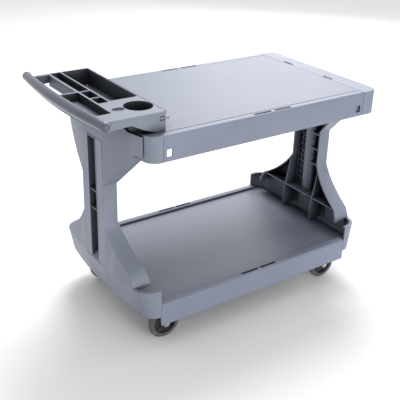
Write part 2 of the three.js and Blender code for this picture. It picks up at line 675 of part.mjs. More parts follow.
// Spring catches, two behind each panel.
const shelves = [
  { level: 'top', start: 0, end: DECK_LENGTH, top: PAWL_TOP },
  { level: 'bottom', start: LOWER_PANEL_START, end: LOWER_PANEL_END, top: LOWER_PAWL_TOP },
];
for (const shelf of shelves) {
  for (const [label, side] of [['near', -1], ['far', 1]]) {
    pawlPlaces(shelf.start, shelf.end).forEach((x, i) => {
      place(`${shelf.level}_${label}_catch_${i + 1}`, 'hub', sidePawl(x, side, shelf.top));
    });
  }
}
END_PAWL_Y.forEach((y, i) => {
  const face = CAP_END - PANEL_SKIN - PANEL_CLEARANCE;
  place(`top_end_catch_${i + 1}`, 'hub', box(face - PAWL.depth, face, y - PAWL.width / 2, y + PAWL.width / 2,
    PAWL_TOP - PAWL.height, PAWL_TOP));
});

// ---------------------------------------------------------------- handle bar and tray
const BAR_STEPS = 12;
const BAR_SIDES = 16;
// Each rounded end: share of its length, share of the full radius.
const BAR_END = [[0, 0.35], [0.18, 0.57], [0.5, 0.87], [1, 1]];

function barX(y) {
  return BAR.endX - BAR.bow * (1 - (y / BAR.halfLength) ** 2);
}

function barZ(y) {
  return BAR.z - BAR.drop * (y / BAR.halfLength) ** 2;
}

// The grip is thickest at its middle.
function barRadius(y) {
  return BAR.radius + BAR.swell * (1 - (y / BAR.halfLength) ** 2);
}

// The bar as a stack of round rings that close to rounded ends; grown makes the hollow it sits in.
function barSolid(grown) {
  const half = BAR.halfLength + grown;
  const tip = BAR.radius * 0.6;
  const stations = BAR_END.map(([along, share]) => [-half + tip * along, share]);
  for (let i = 1; i < BAR_STEPS; i += 1) {
    stations.push([mix(-half + tip, half - tip, i / BAR_STEPS), 1]);
  }
  stations.push(...BAR_END.map(([along, share]) => [half - tip * along, share]).reverse());
  const rings = stations.map(([y, share]) => {
    const radius = (barRadius(y) + grown) * share;
    return Array.from({ length: BAR_SIDES }, (unused, k) => {
      const angle = (2 * Math.PI * k) / BAR_SIDES;
      return [barX(y) + radius * Math.cos(angle), y, barZ(y) + radius * Math.sin(angle)];
    });
  });
  return loft(rings, ([x, , z]) => [z, x]);
}

place('handle_bar', 'grip', barSolid(0));

const RIM = 5;
const STRIP = { x0: -122, x1: -84, floor: 880 };
const DEEP_BIN = { x0: -77, x1: 28.5, y0: -107, y1: 278, floor: 862 };
const PEN_ROWS = [[34, 277], [-48, 26], [-112, -56]];
const SHALLOW = { x1: -130, y0: -217, y1: 28, floor: 892 };
const NOTCH = { x: -93, y: -194, half: 16, stretch: 1.45, squash: 0.7 };
const HAND_HOLE = { x1: -132, y0: 38, y1: 268 };

// Outline between the bar's inner edge and a straight inner edge.
function barSideOutline(inner, y0, y1, clearance) {
  const steps = 8;
  const points = [[inner, y0], [inner, y1]];
  for (let i = 0; i <= steps; i += 1) {
    const y = mix(y1, y0, i / steps);
    points.push([barX(y) + barRadius(y) + clearance, y]);
  }
  return outline(points);
}

function handleTray() {
  const side = outline([
    [BAR.endX - BAR.bow, 884], [-95, 892], [-47, 868], [-4, DECK_TOP + GAP], [TRAY_END_X, DECK_TOP + GAP],
    [TRAY_END_X, TRAY_TOP], [BAR.endX - BAR.bow, TRAY_TOP],
  ]);
  const plan = [[TRAY_END_X, -TRAY_HALF], [TRAY_END_X, TRAY_HALF]];
  const steps = 12;
  for (let i = 0; i <= steps; i += 1) {
    const y = mix(TRAY_HALF, -TRAY_HALF, i / steps);
    plan.push([barX(y) + 6, y]);
  }
  let tray = prismY(side, -TRAY_HALF, TRAY_HALF).intersect(prismZ(outline(plan), 800, 960));
  tray = join(tray.subtract(barSolid(GAP)), cupWell(), penWell(), binWell());
  const bin = roundedRect(DEEP_BIN.x0, DEEP_BIN.x1, DEEP_BIN.y0, DEEP_BIN.y1, [6, 6, 6, 6]);
  tray = tray.subtract(prismZ(bin, DEEP_BIN.floor, TRAY_TOP + 5, 3));
  tray = tray.subtract(prismZ(barSideOutline(HAND_HOLE.x1, HAND_HOLE.y0, HAND_HOLE.y1, 4), 800, 960));
  tray = tray.subtract(prismZ(barSideOutline(SHALLOW.x1, SHALLOW.y0, SHALLOW.y1, 4), SHALLOW.floor, 960));
  for (const [y0, y1] of PEN_ROWS) {
    tray = tray.subtract(box(STRIP.x0, STRIP.x1, y0, y1, STRIP.floor, TRAY_TOP + 5));
  }
  tray = tray.subtract(rod(CUP.radius, 200, 28).translate([CUP.x, CUP.y, CUP.floor + 100]));
  return tray.subtract(mugNotch()).subtract(hookPocket(-1)).subtract(hookPocket(1));
}

// A shallow dished scoop beside the cup holder for a mug's handle.
function mugNotch() {
  const dish = solid(new THREE.SphereGeometry(NOTCH.half, 20, 12));
  return dish.scale([NOTCH.stretch, 1, NOTCH.squash]).translate([NOTCH.x, NOTCH.y, TRAY_TOP]);
}

// The pocket that each accessory hook stands in, at the deck end of the tray's side.
function hookPocket(side) {
  const [y0, y1] = [side * (TRAY_HALF + 5), side * (TRAY_HALF - HOOK.pocket)].sort((a, b) => a - b);
  return box(TRAY_END_X - HOOK.root - 1, TRAY_END_X + 5, y0, y1, TRAY_HOOK_Z - HOOK.height,
    TRAY_HOOK_Z + HOOK.height);
}

// The cup holder, the pen channel and the deep bin hang below the tray's underside.
function cupWell() {
  const bottom = CUP.floor - CUP.wall;
  return rod(CUP.radius + CUP.wall, 900 - bottom, 28).translate([CUP.x, CUP.y, (900 + bottom) / 2]);
}

function penWell() {
  return box(STRIP.x0 - RIM, STRIP.x1 + RIM, PEN_ROWS[2][0] - RIM, PEN_ROWS[0][1] + RIM,
    STRIP.floor - SKIN, 900);
}

function binWell() {
  const bottom = DEEP_BIN.floor - RIM;
  return prismZ(roundedRect(DEEP_BIN.x0 - RIM, TRAY_END_X, DEEP_BIN.y0 - RIM, DEEP_BIN.y1 + RIM,
    [8, 8, 8, 8]), bottom, 900);
}

place('handle_tray', 'shell', handleTray());

// ---------------------------------------------------------------- hooks and screws
// An accessory hook: a flat finger along +X that leaves its pocket, runs past an edge and curls outwards.
function hook() {
  const finger = outline([
    [-HOOK.root, -2.7], [-4, -2.7], [0, 0.5], [9, 0.5], [11.5, 4.6], [9.5, 5.2], [7.6, 2.9], [-1, 2.9],
    [-5, -0.3], [-HOOK.root, -0.3],
  ]);
  return prismZ(finger, -HOOK.height / 2, HOOK.height / 2);
}

for (const [label, side] of [['near', -1], ['far', 1]]) {
  const onSide = side > 0 ? hook() : hook().mirror([0, 1, 0]);
  place(`tray_hook_${label}`, 'shell', onSide.translate([TRAY_END_X, side * TRAY_HALF, TRAY_HOOK_Z]));
  const onEnd = side > 0 ? hook().rotate([0, 0, -90]).mirror([0, 1, 0]) : hook().rotate([0, 0, -90]);
  place(`end_hook_${label}`, 'panel',
    onEnd.translate([CAP_END, side * (HALF_WIDTH - CAP_CORNER), CAP_HOOK_Z]));
}

function trayScrew(x, y) {
  const head = turned([[0, 0], [5, 0], [4.2, 2.2], [0, 3]], 12);
  return head.translate([x, y, DEEP_BIN.floor + 0.3]);
}

[[-60, 250], [12, 250], [-60, -90], [12, -90]].forEach(([x, y], i) => {
  place(`tray_screw_${i + 1}`, 'steel', trayScrew(x, y));
});

// ---------------------------------------------------------------- casters
function platePair(x, y) {
  const plate = prismZ(roundedRect(x - 50, x + 50, y - 42, y + 42, [8, 8, 8, 8]),
    CASTER_TOP - 3, CASTER_TOP, 2);
  const holes = [[-38, -31], [38, -31], [38, 31], [-38, 31]].map(([dx, dy]) =>
    rod(4.5, 20, 8).translate([x + dx, y + dy, CASTER_TOP]));
  return plate.subtract(join(...holes));
}

// One side leg of a caster fork, from its crown down to a round eye at the axle.
function forkLeg(topX, topHalf, topZ, axleX, y0, y1) {
  const eye = 13;
  const shape = new THREE.Shape();
  shape.moveTo(topX - topHalf, topZ);
  shape.lineTo(axleX - eye, WHEEL_RADIUS);
  shape.absarc(axleX, WHEEL_RADIUS, eye, Math.PI, 2 * Math.PI);
  shape.lineTo(topX + topHalf, topZ);
  const hole = new THREE.Path();
  hole.absarc(axleX, WHEEL_RADIUS, AXLE_RADIUS + GAP, 0, 2 * Math.PI, true);
  shape.holes.push(hole);
  return prismY(shape, y0, y1, 5);
}

const LEG_IN = TYRE_WIDTH / 2 + 4;
const LEG_THICK = 3.5;

function wheelTyre(x, y) {
  const half = TYRE_WIDTH / 2;
  const profile = [
    [47, -half + 2], [57, -half + 1], [WHEEL_RADIUS, -half + 8],
    [WHEEL_RADIUS, half - 8], [57, half - 1], [47, half - 2], [47, -half + 2],
  ];
  return alongY(turned(profile, 28)).translate([x, y, WHEEL_RADIUS]);
}

function wheelHub(x, y) {
  const half = TYRE_WIDTH / 2;
  const bore = AXLE_RADIUS + GAP;
  const rim = 47 - GAP;
  const profile = [
    [bore, -half - 2], [14, -half - 2], [20, -half + 6], [rim, -half + 3.5],
    [rim, half - 3.5], [20, half - 6], [14, half + 2], [bore, half + 2], [bore, -half - 2],
  ];
  return alongY(turned(profile, 28)).translate([x, y, WHEEL_RADIUS]);
}

function axleBolt(x, y) {
  const reach = LEG_IN + LEG_THICK;
  const shank = alongY(rod(AXLE_RADIUS, 2 * reach + 12, 14)).translate([x, y + 5, WHEEL_RADIUS]);
  const head = alongY(hexRod(9, 5)).translate([x, y - reach - 0.3 - 2.5, WHEEL_RADIUS]);
  return shank.add(head);
}

function axleNut(x, y) {
  const reach = LEG_IN + LEG_THICK;
  const nut = hexRod(9, 6).subtract(rod(AXLE_RADIUS + GAP, 20, 14));
  return alongY(nut).translate([x, y + reach + 0.3 + 3, WHEEL_RADIUS]);
}

function wheelSet(label, x, y) {
  place(`${label}_tyre`, 'tyre', wheelTyre(x, y));
  place(`${label}_hub`, 'hub', wheelHub(x, y));
  place(`${label}_axle_bolt`, 'steel', axleBolt(x, y));
  place(`${label}_axle_nut`, 'steel', axleNut(x, y));
}

const CROWN = { low: 138, high: 143 };

function swivelFork(x, y) {
  const crown = rod(30, CROWN.high - CROWN.low, 24).translate([x, y, (CROWN.high + CROWN.low) / 2])
    .subtract(rod(7, 60, 14).translate([x, y, CROWN.low]));
  const legs = [-1, 1].map((side) => {
    const inner = y + side * LEG_IN;
    const outer = y + side * (LEG_IN + LEG_THICK);
    return forkLeg(x - 4, 24, CROWN.high - 1, x - TRAIL, Math.min(inner, outer), Math.max(inner, outer));
  });
  return crown.add(legs[0]).add(legs[1]);
}

function ballRace(x, y) {
  const profile = [[8, 143.4], [26, 143.4], [29, 147], [29, 151], [25, 154.6], [8, 154.6], [8, 143.4]];
  return turned(profile, 24).translate([x, y, 0]);
}

function kingpin(x, y) {
  const profile = [[0, 132], [10, 132], [10, 137.6], [6.4, 137.6], [6.4, 154.6], [0, 154.6]];
  return turned(profile, 16).translate([x, y, 0]);
}

for (const [label, side] of [['near', -1], ['far', 1]]) {
  const y = side * CASTER_Y;
  place(`swivel_plate_${label}`, 'steel', platePair(SWIVEL_X, y));
  place(`swivel_race_${label}`, 'steel', ballRace(SWIVEL_X, y));
  place(`swivel_kingpin_${label}`, 'steel', kingpin(SWIVEL_X, y));
  place(`swivel_fork_${label}`, 'steel', swivelFork(SWIVEL_X, y));
  wheelSet(`swivel_${label}`, SWIVEL_WHEEL_X, y);
}

function rigidBracket(x, y) {
  const legs = [-1, 1].map((side) => {
    const inner = y + side * LEG_IN;
    const outer = y + side * (LEG_IN + LEG_THICK);
    return forkLeg(x, 36, CASTER_TOP - 1, x, Math.min(inner, outer), Math.max(inner, outer));
  });
  return platePair(x, y).add(legs[0]).add(legs[1]);
}

for (const [label, side] of [['near', -1], ['far', 1]]) {
  const y = side * CASTER_Y;
  place(`rigid_bracket_${label}`, 'steel', rigidBracket(RIGID_WHEEL_X, y));
  wheelSet(`rigid_${label}`, RIGID_WHEEL_X, y);
}

export default cart;
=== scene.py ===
"""Rolling utility cart, modelled as a Blender add-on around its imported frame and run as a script."""
import json
import math

import bpy
from mathutils import Matrix, Vector


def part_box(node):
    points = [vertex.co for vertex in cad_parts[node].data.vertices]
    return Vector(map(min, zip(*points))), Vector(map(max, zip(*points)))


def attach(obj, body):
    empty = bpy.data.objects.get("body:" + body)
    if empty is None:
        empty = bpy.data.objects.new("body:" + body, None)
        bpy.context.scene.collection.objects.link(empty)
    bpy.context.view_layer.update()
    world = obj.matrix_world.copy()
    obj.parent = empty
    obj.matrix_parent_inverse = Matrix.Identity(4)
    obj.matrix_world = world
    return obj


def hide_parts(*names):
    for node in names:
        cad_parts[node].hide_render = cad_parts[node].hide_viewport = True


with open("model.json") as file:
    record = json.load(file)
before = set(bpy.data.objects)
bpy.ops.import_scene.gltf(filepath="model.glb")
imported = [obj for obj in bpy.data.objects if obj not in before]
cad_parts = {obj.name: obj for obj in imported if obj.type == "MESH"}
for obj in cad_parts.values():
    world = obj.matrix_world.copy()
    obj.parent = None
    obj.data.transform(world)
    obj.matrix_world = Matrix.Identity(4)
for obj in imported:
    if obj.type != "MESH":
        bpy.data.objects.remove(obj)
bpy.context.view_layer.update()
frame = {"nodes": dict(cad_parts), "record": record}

bl_info = {
    "name": "Utility Cart",
    "version": (1, 0, 0),
    "blender": (4, 5, 0),
    "location": "3D View > Sidebar > Cart",
    "description": "Builds the finished surfaces of a two-deck rolling utility cart",
    "category": "Object",
}

# ------------------------------------------------------------------ places read from the frame
TRAY_LOW, TRAY_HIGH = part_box("handle_tray")
BAR_LOW, BAR_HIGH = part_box("handle_bar")
BODY_OF = {
    node: body
    for body, nodes in frame["record"]["behaviour"]["bodies"].items()
    for node in nodes
}
SLOT_OF = {row["node"]: row["material_slot"] for row in frame["record"]["subparts"]}

# Every size below is in metres unless its comment says otherwise.
MERGE_DISTANCE = 0.00002
FLAT_ANGLE = 0.3  # degrees; faces that meet more flatly than this become one face

# Moulded pieces that keep their frame shape and gain rounded edges: node to edge radius.
MOULDED = {
    "top_shelf": 0.002,
    "bottom_shelf": 0.002,
    "handle_end_frame": 0.0022,
    "far_end_frame": 0.0022,
    "handle_tray": 0.0022,
    "top_near_panel": 0.0018,
    "top_far_panel": 0.0018,
    "top_end_panel": 0.0025,
    "bottom_near_panel": 0.0018,
    "bottom_far_panel": 0.0018,
    "tray_hook_near": 0.0008,
    "tray_hook_far": 0.0008,
    "end_hook_near": 0.0008,
    "end_hook_far": 0.0008,
    "swivel_fork_near": 0.0009,
    "swivel_fork_far": 0.0009,
    "rigid_bracket_near": 0.0009,
    "rigid_bracket_far": 0.0009,
    "swivel_plate_near": 0.0006,
    "swivel_plate_far": 0.0006,
}

# How painted shade darkens recesses: reach, openness that counts as closed and as open, and the depth of
# it.
SHELL_PAINTED_SHADE = (0.14, 0.22, 0.86, 0.95)
TRAY_PAINTED_SHADE = (0.16, 0.40, 0.92, 0.96)
PANEL_PAINTED_SHADE = (0.05, 0.2, 0.8, 0.9)
# Near-black colour that the painted shade in recesses blends towards, and the occlusion samples that find
# the recesses.
PAINTED_SHADE_TONE = (0.004, 0.005, 0.008)
PAINTED_SHADE_SAMPLES = 12

# How strongly scuffs and worn edges pale the plastic.
MARK_STRENGTH = 0.22
EDGE_STRENGTH = 0.4

# Finished materials by slot name, filled by finishes().
FINISHES = {}

# Area lights: name, place, the point it faces, width and power in watts.
AREA_LIGHTS = (
    ("key_light", (1.2, 1.6, 4.2), (0.1, 0, 0.4), 2.2, 150),
    ("fill_light", (0.2, -4.2, 1.3), (0.1, 0, 0.3), 2.4, 62),
    ("end_light", (3.6, 3.4, 2.4), (0, 0, 0.4), 3.0, 62),
)
WORLD_STRENGTH = 0.8

# The camera stands at the handle end, on the near side. Angles are in degrees, the lens in millimetres.
CAMERA_PLACE = (-1.5215, -2.179, 1.706)
CAMERA_YAW, CAMERA_PITCH, CAMERA_ROLL = 54.83, 25.28, 1.69
CAMERA_LENS = 65.3
CAMERA_SENSOR = 36.0
CAMERA_SHIFT = (-0.00825, -0.0345)

# Each step cut into both faces of a wheel part: how far in towards the axle, how far out along it.
TYRE_STEPS = (
    (0.0008, 0.0026), (0.0020, 0.0030), (0.0030, 0.0024), (0.0022, 0.0006), (0.0012, 0.0007),
    (0.0016, 0.0), (0.0010, -0.0009), (0.0032, -0.0006), (0.0010, -0.0006),
)
TREAD_SHARE = 0.36
TYRE_SIDES = 72
TYRE_SMOOTH = 28  # degrees

HUB_RADIUS = 0.0466
HUB_WIDTH = 0.0242
HUB_WEB_STEPS = ((0.0010, 0.0012), (0.0018, 0.0), (0.0012, -0.0046))
HUB_WEB_WIDTH = 0.022
HUB_SIDES = 60
HUB_SMOOTH = 30  # degrees
HUB_BOSS_STEPS = ((0.0016, 0.0052), (0.0020, 0.0012), (0.0024, 0.0008), (0.0042, 0.0))
# Pockets between the spokes: how far each lies from the web's middle, its border and its depth.
SPOKES = 5
SPOKE_SHARE = 0.22
POCKET_REACH = 0.003
POCKET_BORDER = 0.0014
POCKET_DEPTH = 0.0035

# Bearing sleeves, washers and the axle's bolt heads and nuts.
SLEEVE_RADIUS = 0.0102
SLEEVE_PROUD = 0.003
SLEEVE_SIDES = 40
SLEEVE_STEPS = ((0.0008, 0.0005), (0.0038, 0.0))
WASHER_RADIUS = 0.0115
WASHER_THICKNESS = 0.0006
WASHER_SIDES = 36
WASHER_STEPS = ((0.0006, 0.0002), (0.0052, 0.0))
WASHER_FROM_HUB = 0.0234
FASTENER_EDGE = 0.0007

# Bolts under each caster plate.
PLATE_THICKNESS = 0.003
PLATE_BOLT_X, PLATE_BOLT_Y = 0.038, 0.031
PLATE_BOLT_RADIUS = 0.0072
PLATE_BOLT_HEIGHT = 0.0046
PLATE_BOLT_DROP = 0.0028
PLATE_BOLT_EDGE = 0.0008

# Ladder strips: depth behind the outer face, tab size, column places, first tab, pitch and count.
LADDER_DEPTH_IN = 0.026
LADDER_TAB = (0.0145, 0.008, 0.0035)
LADDER_COLUMNS = (-0.0708, -0.0478)
LADDER_FIRST_TAB = 0.2675
LADDER_PITCH = 0.027
LADDER_RUNGS = 19

# Tray lips: where they start, how far they stand out and down, and their distance below the tray's top.
LIP_START_IN = 0.022
LIP_PROUD = 0.0009
LIP_HEIGHT = 0.0055
LIP_BELOW_TOP = 0.0006
SMALL_EDGE = 0.0004

# Handle bar: its radius at the ends, and the balls that cap it.
BAR_END_RADIUS = 0.016
END_BALL_RADIUS = 0.0174
END_BALL_OUT = 0.001
GRIP_LEVELS = 2

# Each wheel, by the first part of its node names: the body that turns with it.
WHEEL_BODIES = {
    "swivel_near": "swivel_wheel_near",
    "swivel_far": "swivel_wheel_far",
    "rigid_near": "rigid_wheel_near",
    "rigid_far": "rigid_wheel_far",
}
# The body that each wheel's axle belongs to.
FORK_BODIES = {
    "swivel_near": "swivel_caster_near",
    "swivel_far": "swivel_caster_far",
    "rigid_near": "cart",
    "rigid_far": "cart",
}
# The node whose top is the plate that is bolted to the lower shelf.
PLATE_NODES = {
    "swivel_near": "swivel_plate_near",
    "swivel_far": "swivel_plate_far",
    "rigid_near": "rigid_bracket_near",
    "rigid_far": "rigid_bracket_far",
}


# ------------------------------------------------------------------ settings
class CartSettings(bpy.types.PropertyGroup):
    """Sizes and colours that a user would change."""

    shell_colour: bpy.props.FloatVectorProperty(
        name="Shell colour", description="Blue-grey of the shelves, end frames and tray",
        default=(0.182, 0.200, 0.256), size=3, subtype="COLOR")
    panel_colour: bpy.props.FloatVectorProperty(
        name="Panel colour", description="Slightly lighter blue-grey of the sliding panels",
        default=(0.178, 0.198, 0.262), size=3, subtype="COLOR")
    grip_colour: bpy.props.FloatVectorProperty(
        name="Grip colour", description="Darker, glossier blue-grey of the handle bar",
        default=(0.078, 0.087, 0.125), size=3, subtype="COLOR")
    tyre_colour: bpy.props.FloatVectorProperty(
        name="Tyre colour", description="Dark grey of the rubber treads",
        default=(0.085, 0.087, 0.095), size=3, subtype="COLOR")
    hub_colour: bpy.props.FloatVectorProperty(
        name="Hub colour", description="Near-black of the wheel hubs and spring catches",
        default=(0.012, 0.012, 0.014), size=3, subtype="COLOR")
    grain_size: bpy.props.FloatProperty(
        name="Grain size", description="Width of one grain of the moulded plastic texture",
        default=0.0016, min=0.0002, max=0.01, unit="LENGTH")
    wear: bpy.props.FloatProperty(
        name="Wear", description="Strength of scuffs and of worn, paler patches on the decks",
        default=0.5, min=0.0, max=1.0, subtype="FACTOR")
    floor_size: bpy.props.FloatProperty(
        name="Floor size", description="Width of the pale floor",
        default=60.0, min=5.0, max=200.0, unit="LENGTH")


# ------------------------------------------------------------------ object helpers
def deselect():
    bpy.ops.object.select_all(action="DESELECT")


def activate(piece):
    deselect()
    piece.select_set(True)
    bpy.context.view_layer.objects.active = piece


def apply_all(piece):
    """Applies every modifier and puts the object's place into its mesh."""
    activate(piece)
    for modifier in list(piece.modifiers):
        bpy.ops.object.modifier_apply(modifier=modifier.name)
    bpy.ops.object.transform_apply(location=True, rotation=True, scale=True)


def smooth(piece, angle=40.0):
    activate(piece)
    bpy.ops.object.shade_smooth_by_angle(angle=math.radians(angle))


def bevel(piece, width, segments=2, angle=32.0):
    modifier = piece.modifiers.new("edge_radius", "BEVEL")
    modifier.width = width
    modifier.segments = segments
    modifier.limit_method = "ANGLE"
    modifier.angle_limit = math.radians(angle)
    modifier.use_clamp_overlap = True
    modifier.miter_outer = "MITER_ARC"
    return modifier


def flatten_wide_faces(piece):
    """Gives wide flat faces their own direction, so that only the rounded edges shade softly."""
    modifier = piece.modifiers.new("face_directions", "WEIGHTED_NORMAL")
    modifier.weight = 100
    modifier.keep_sharp = True
    activate(piece)
    bpy.ops.object.modifier_apply(modifier=modifier.name)


def finish_piece(piece, body, material, replaced=()):
    piece.data.materials.clear()
    piece.data.materials.append(material)
    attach(piece, body)
    if replaced:
        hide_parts(*replaced)
    return piece


def copy_of_node(node, name):
    """A merged, editable copy of a frame node's mesh."""
    piece = bpy.data.objects.new(name, frame["nodes"][node].data.copy())
    bpy.context.scene.collection.objects.link(piece)
    activate(piece)
    bpy.ops.object.mode_set(mode="EDIT")
    bpy.ops.mesh.select_all(action="SELECT")
    bpy.ops.mesh.remove_doubles(threshold=MERGE_DISTANCE)
    bpy.ops.mesh.dissolve_limited(angle_limit=math.radians(FLAT_ANGLE))
    bpy.ops.mesh.vert_connect_concave()
    bpy.ops.object.mode_set(mode="OBJECT")
    return piece


def rounded_copy(node, name, width, segments=2):
    piece = copy_of_node(node, name)
    bevel(piece, width, segments)
    apply_all(piece)
    smooth(piece)
    flatten_wide_faces(piece)
    return piece


def centre_of(node):
    low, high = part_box(node)
    return (Vector(low) + Vector(high)) / 2


def select_faces(piece, wanted):
    """Leaves edit mode's face selection holding just the faces that wanted(face) accepts."""
    bpy.ops.object.mode_set(mode="EDIT")
    bpy.ops.mesh.select_mode(type="FACE")
    bpy.ops.mesh.select_all(action="DESELECT")
    bpy.ops.object.mode_set(mode="OBJECT")
    for polygon in piece.data.polygons:
        polygon.select = bool(wanted(polygon))
    bpy.ops.object.mode_set(mode="EDIT")


def disc_along_y(name, radius, width, sides):
    """A cylinder round the Y axis at the origin."""
    deselect()
    bpy.ops.mesh.primitive_cylinder_add(vertices=sides, radius=radius, depth=width,
                                        rotation=(math.pi / 2, 0, 0))
    disc = bpy.context.object
    disc.name = name
    bpy.ops.object.transform_apply(location=False, rotation=True, scale=False)
    return disc


def step_ends(steps):
    """Insets both selected end faces again and again: each step is a thickness and a rise."""
    for thickness, rise in steps:
        bpy.ops.mesh.inset(thickness=thickness, depth=rise, use_individual=True, use_even_offset=False)


def select_ends(piece):
    widest = max(polygon.area for polygon in piece.data.polygons)
    select_faces(piece, lambda face: abs(face.normal.y) > 0.99 and face.area > widest * 0.9)


def open_bore():
    """Joins the two selected end faces by a hole through the piece."""
    bpy.ops.mesh.bridge_edge_loops()


def move_piece(piece, place):
    piece.location = place
    apply_all(piece)


def joined(pieces, name):
    """Makes one object of several, under a new name."""
    deselect()
    for piece in pieces:
        piece.select_set(True)
    bpy.context.view_layer.objects.active = pieces[0]
    bpy.ops.object.join()
    whole = bpy.context.object
    whole.name = name
    return whole


# ------------------------------------------------------------------ materials
def new_material(name):
    material = bpy.data.materials.new(name)
    material.use_nodes = True
    tree = material.node_tree
    return material, tree, tree.nodes["Principled BSDF"]


def add_node(tree, kind, **values):
    node = tree.nodes.new(kind)
    for key, value in values.items():
        if key in node.inputs:
            node.inputs[key].default_value = value
        else:
            setattr(node, key, value)
    return node


def ramp(tree, source, low, high):
    """Maps a pattern's range low to high onto 0 to 1."""
    node = add_node(tree, "ShaderNodeMapRange")
    node.inputs["From Min"].default_value = low
    node.inputs["From Max"].default_value = high
    tree.links.new(source, node.inputs["Value"])
    return node.outputs["Result"]


def spread(tree, source, low, high):
    """Maps a pattern's 0 to 1 onto the range low to high."""
    node = add_node(tree, "ShaderNodeMapRange")
    node.inputs["To Min"].default_value = low
    node.inputs["To Max"].default_value = high
    tree.links.new(source, node.inputs["Value"])
    return node.outputs["Result"]


def noise(tree, coordinates, scale, detail=3.0, roughness=0.5, distortion=0.0):
    node = add_node(tree, "ShaderNodeTexNoise", Scale=scale, Detail=detail, Roughness=roughness,
                    Distortion=distortion)
    tree.links.new(coordinates, node.inputs["Vector"])
    return node.outputs["Fac"]


def mapping(tree, coordinates, scale, turn=(0, 0, 0)):
    node = add_node(tree, "ShaderNodeMapping")
    node.inputs["Scale"].default_value = scale
    node.inputs["Rotation"].default_value = turn
    tree.links.new(coordinates, node.inputs["Vector"])
    return node.outputs["Vector"]


def mix_colour(tree, factor, first, second):
    node = tree.nodes.new("ShaderNodeMix")
    node.data_type = "RGBA"
    colour_sockets = [s for s in node.inputs if s.type == "RGBA"]
    for socket, value in zip(colour_sockets, (first, second)):
        if isinstance(value, bpy.types.NodeSocket):
            tree.links.new(value, socket)
        else:
            socket.default_value = (*value, 1.0)
    if isinstance(factor, bpy.types.NodeSocket):
        tree.links.new(factor, node.inputs["Factor"])
    else:
        node.inputs["Factor"].default_value = factor
    return [s for s in node.outputs if s.type == "RGBA"][0]


def math_node(tree, operation, first, second):
    node = add_node(tree, "ShaderNodeMath", operation=operation)
    for socket, value in zip(node.inputs, (first, second)):
        if isinstance(value, bpy.types.NodeSocket):
            tree.links.new(value, socket)
        else:
            socket.default_value = value
    return node.outputs["Value"]


def bump(tree, height, strength, distance, normal=None):
    node = add_node(tree, "ShaderNodeBump", Strength=strength, Distance=distance)
    tree.links.new(height, node.inputs["Height"])
    if normal is not None:
        tree.links.new(normal, node.inputs["Normal"])
    return node.outputs["Normal"]


def painted_recess_shade(tree, colour, painted_shade):
    """Paints shade into a colour inside grooves and pockets, darker where they are more closed in."""
    reach, closed, open_share, depth = painted_shade
    # Ambient occlusion picks out the recesses that get painted shade.
    node = add_node(tree, "ShaderNodeAmbientOcclusion", Distance=reach)
    node.samples = PAINTED_SHADE_SAMPLES
    share = add_node(tree, "ShaderNodeMapRange")
    share.inputs["From Min"].default_value = closed
    share.inputs["From Max"].default_value = open_share
    share.inputs["To Min"].default_value = depth
    share.inputs["To Max"].default_value = 0.0
    tree.links.new(node.outputs["AO"], share.inputs["Value"])
    # Blends the colour towards the near-black painted shade tone.
    return mix_colour(tree, share.outputs["Result"], colour, PAINTED_SHADE_TONE)


def scaled(colour, factor):
    return tuple(min(1.0, channel * factor) for channel in colour)


def moulded_plastic(name, colour, settings, painted_shade, roughness=0.46, deck_wear=1.0):
    """Structural foam plastic: fine grain, flow swirls, scuffs, worn pale edges, and painted shade in its
    recesses.
    """
    material, tree, shader = new_material(name)
    place = add_node(tree, "ShaderNodeTexCoord").outputs["Object"]
    swirl = noise(tree, place, scale=3.2, detail=5.0, roughness=0.6, distortion=1.6)
    cloud = noise(tree, place, scale=1.3, detail=2.0, roughness=0.5, distortion=0.4)
    scuff_field = mapping(tree, place, scale=(5.0, 38.0, 20.0), turn=(0, 0, 0.7))
    scuff = noise(tree, scuff_field, scale=2.6, detail=6.0, roughness=0.62, distortion=0.8)
    cross_field = mapping(tree, place, scale=(60.0, 9.0, 24.0), turn=(0, 0, -0.35))
    cross = noise(tree, cross_field, scale=1.8, detail=5.0, roughness=0.6, distortion=0.3)
    marks = math_node(tree, "MAXIMUM", ramp(tree, scuff, 0.56, 0.74), ramp(tree, cross, 0.6, 0.76))
    base = mix_colour(tree, ramp(tree, swirl, 0.3, 0.7), scaled(colour, 0.93), scaled(colour, 1.08))
    clouded = mix_colour(tree, ramp(tree, cloud, 0.35, 0.7), base, scaled(colour, 1.04))
    share = math_node(tree, "MULTIPLY", marks, MARK_STRENGTH * settings.wear * deck_wear)
    worn = mix_colour(tree, share, clouded, scaled(colour, 1.7))
    edge = add_node(tree, "ShaderNodeNewGeometry").outputs["Pointiness"]
    edge_share = math_node(tree, "MULTIPLY", ramp(tree, edge, 0.52, 0.62), EDGE_STRENGTH)
    final = mix_colour(tree, edge_share, worn, scaled(colour, 1.5))
    # The colour gets painted shade in its recesses before it becomes the base colour.
    tree.links.new(painted_recess_shade(tree, final, painted_shade), shader.inputs["Base Color"])
    tree.links.new(spread(tree, swirl, roughness - 0.05, roughness + 0.1), shader.inputs["Roughness"])
    grain = noise(tree, place, scale=1.0 / settings.grain_size, detail=2.0, roughness=0.55)
    ripple = noise(tree, place, scale=22.0, detail=2.0)
    rippled = bump(tree, ripple, strength=0.12, distance=0.0012)
    grained = bump(tree, grain, strength=0.22, distance=0.0003, normal=rippled)
    tree.links.new(grained, shader.inputs["Normal"])
    shader.inputs["IOR"].default_value = 1.48
    return material


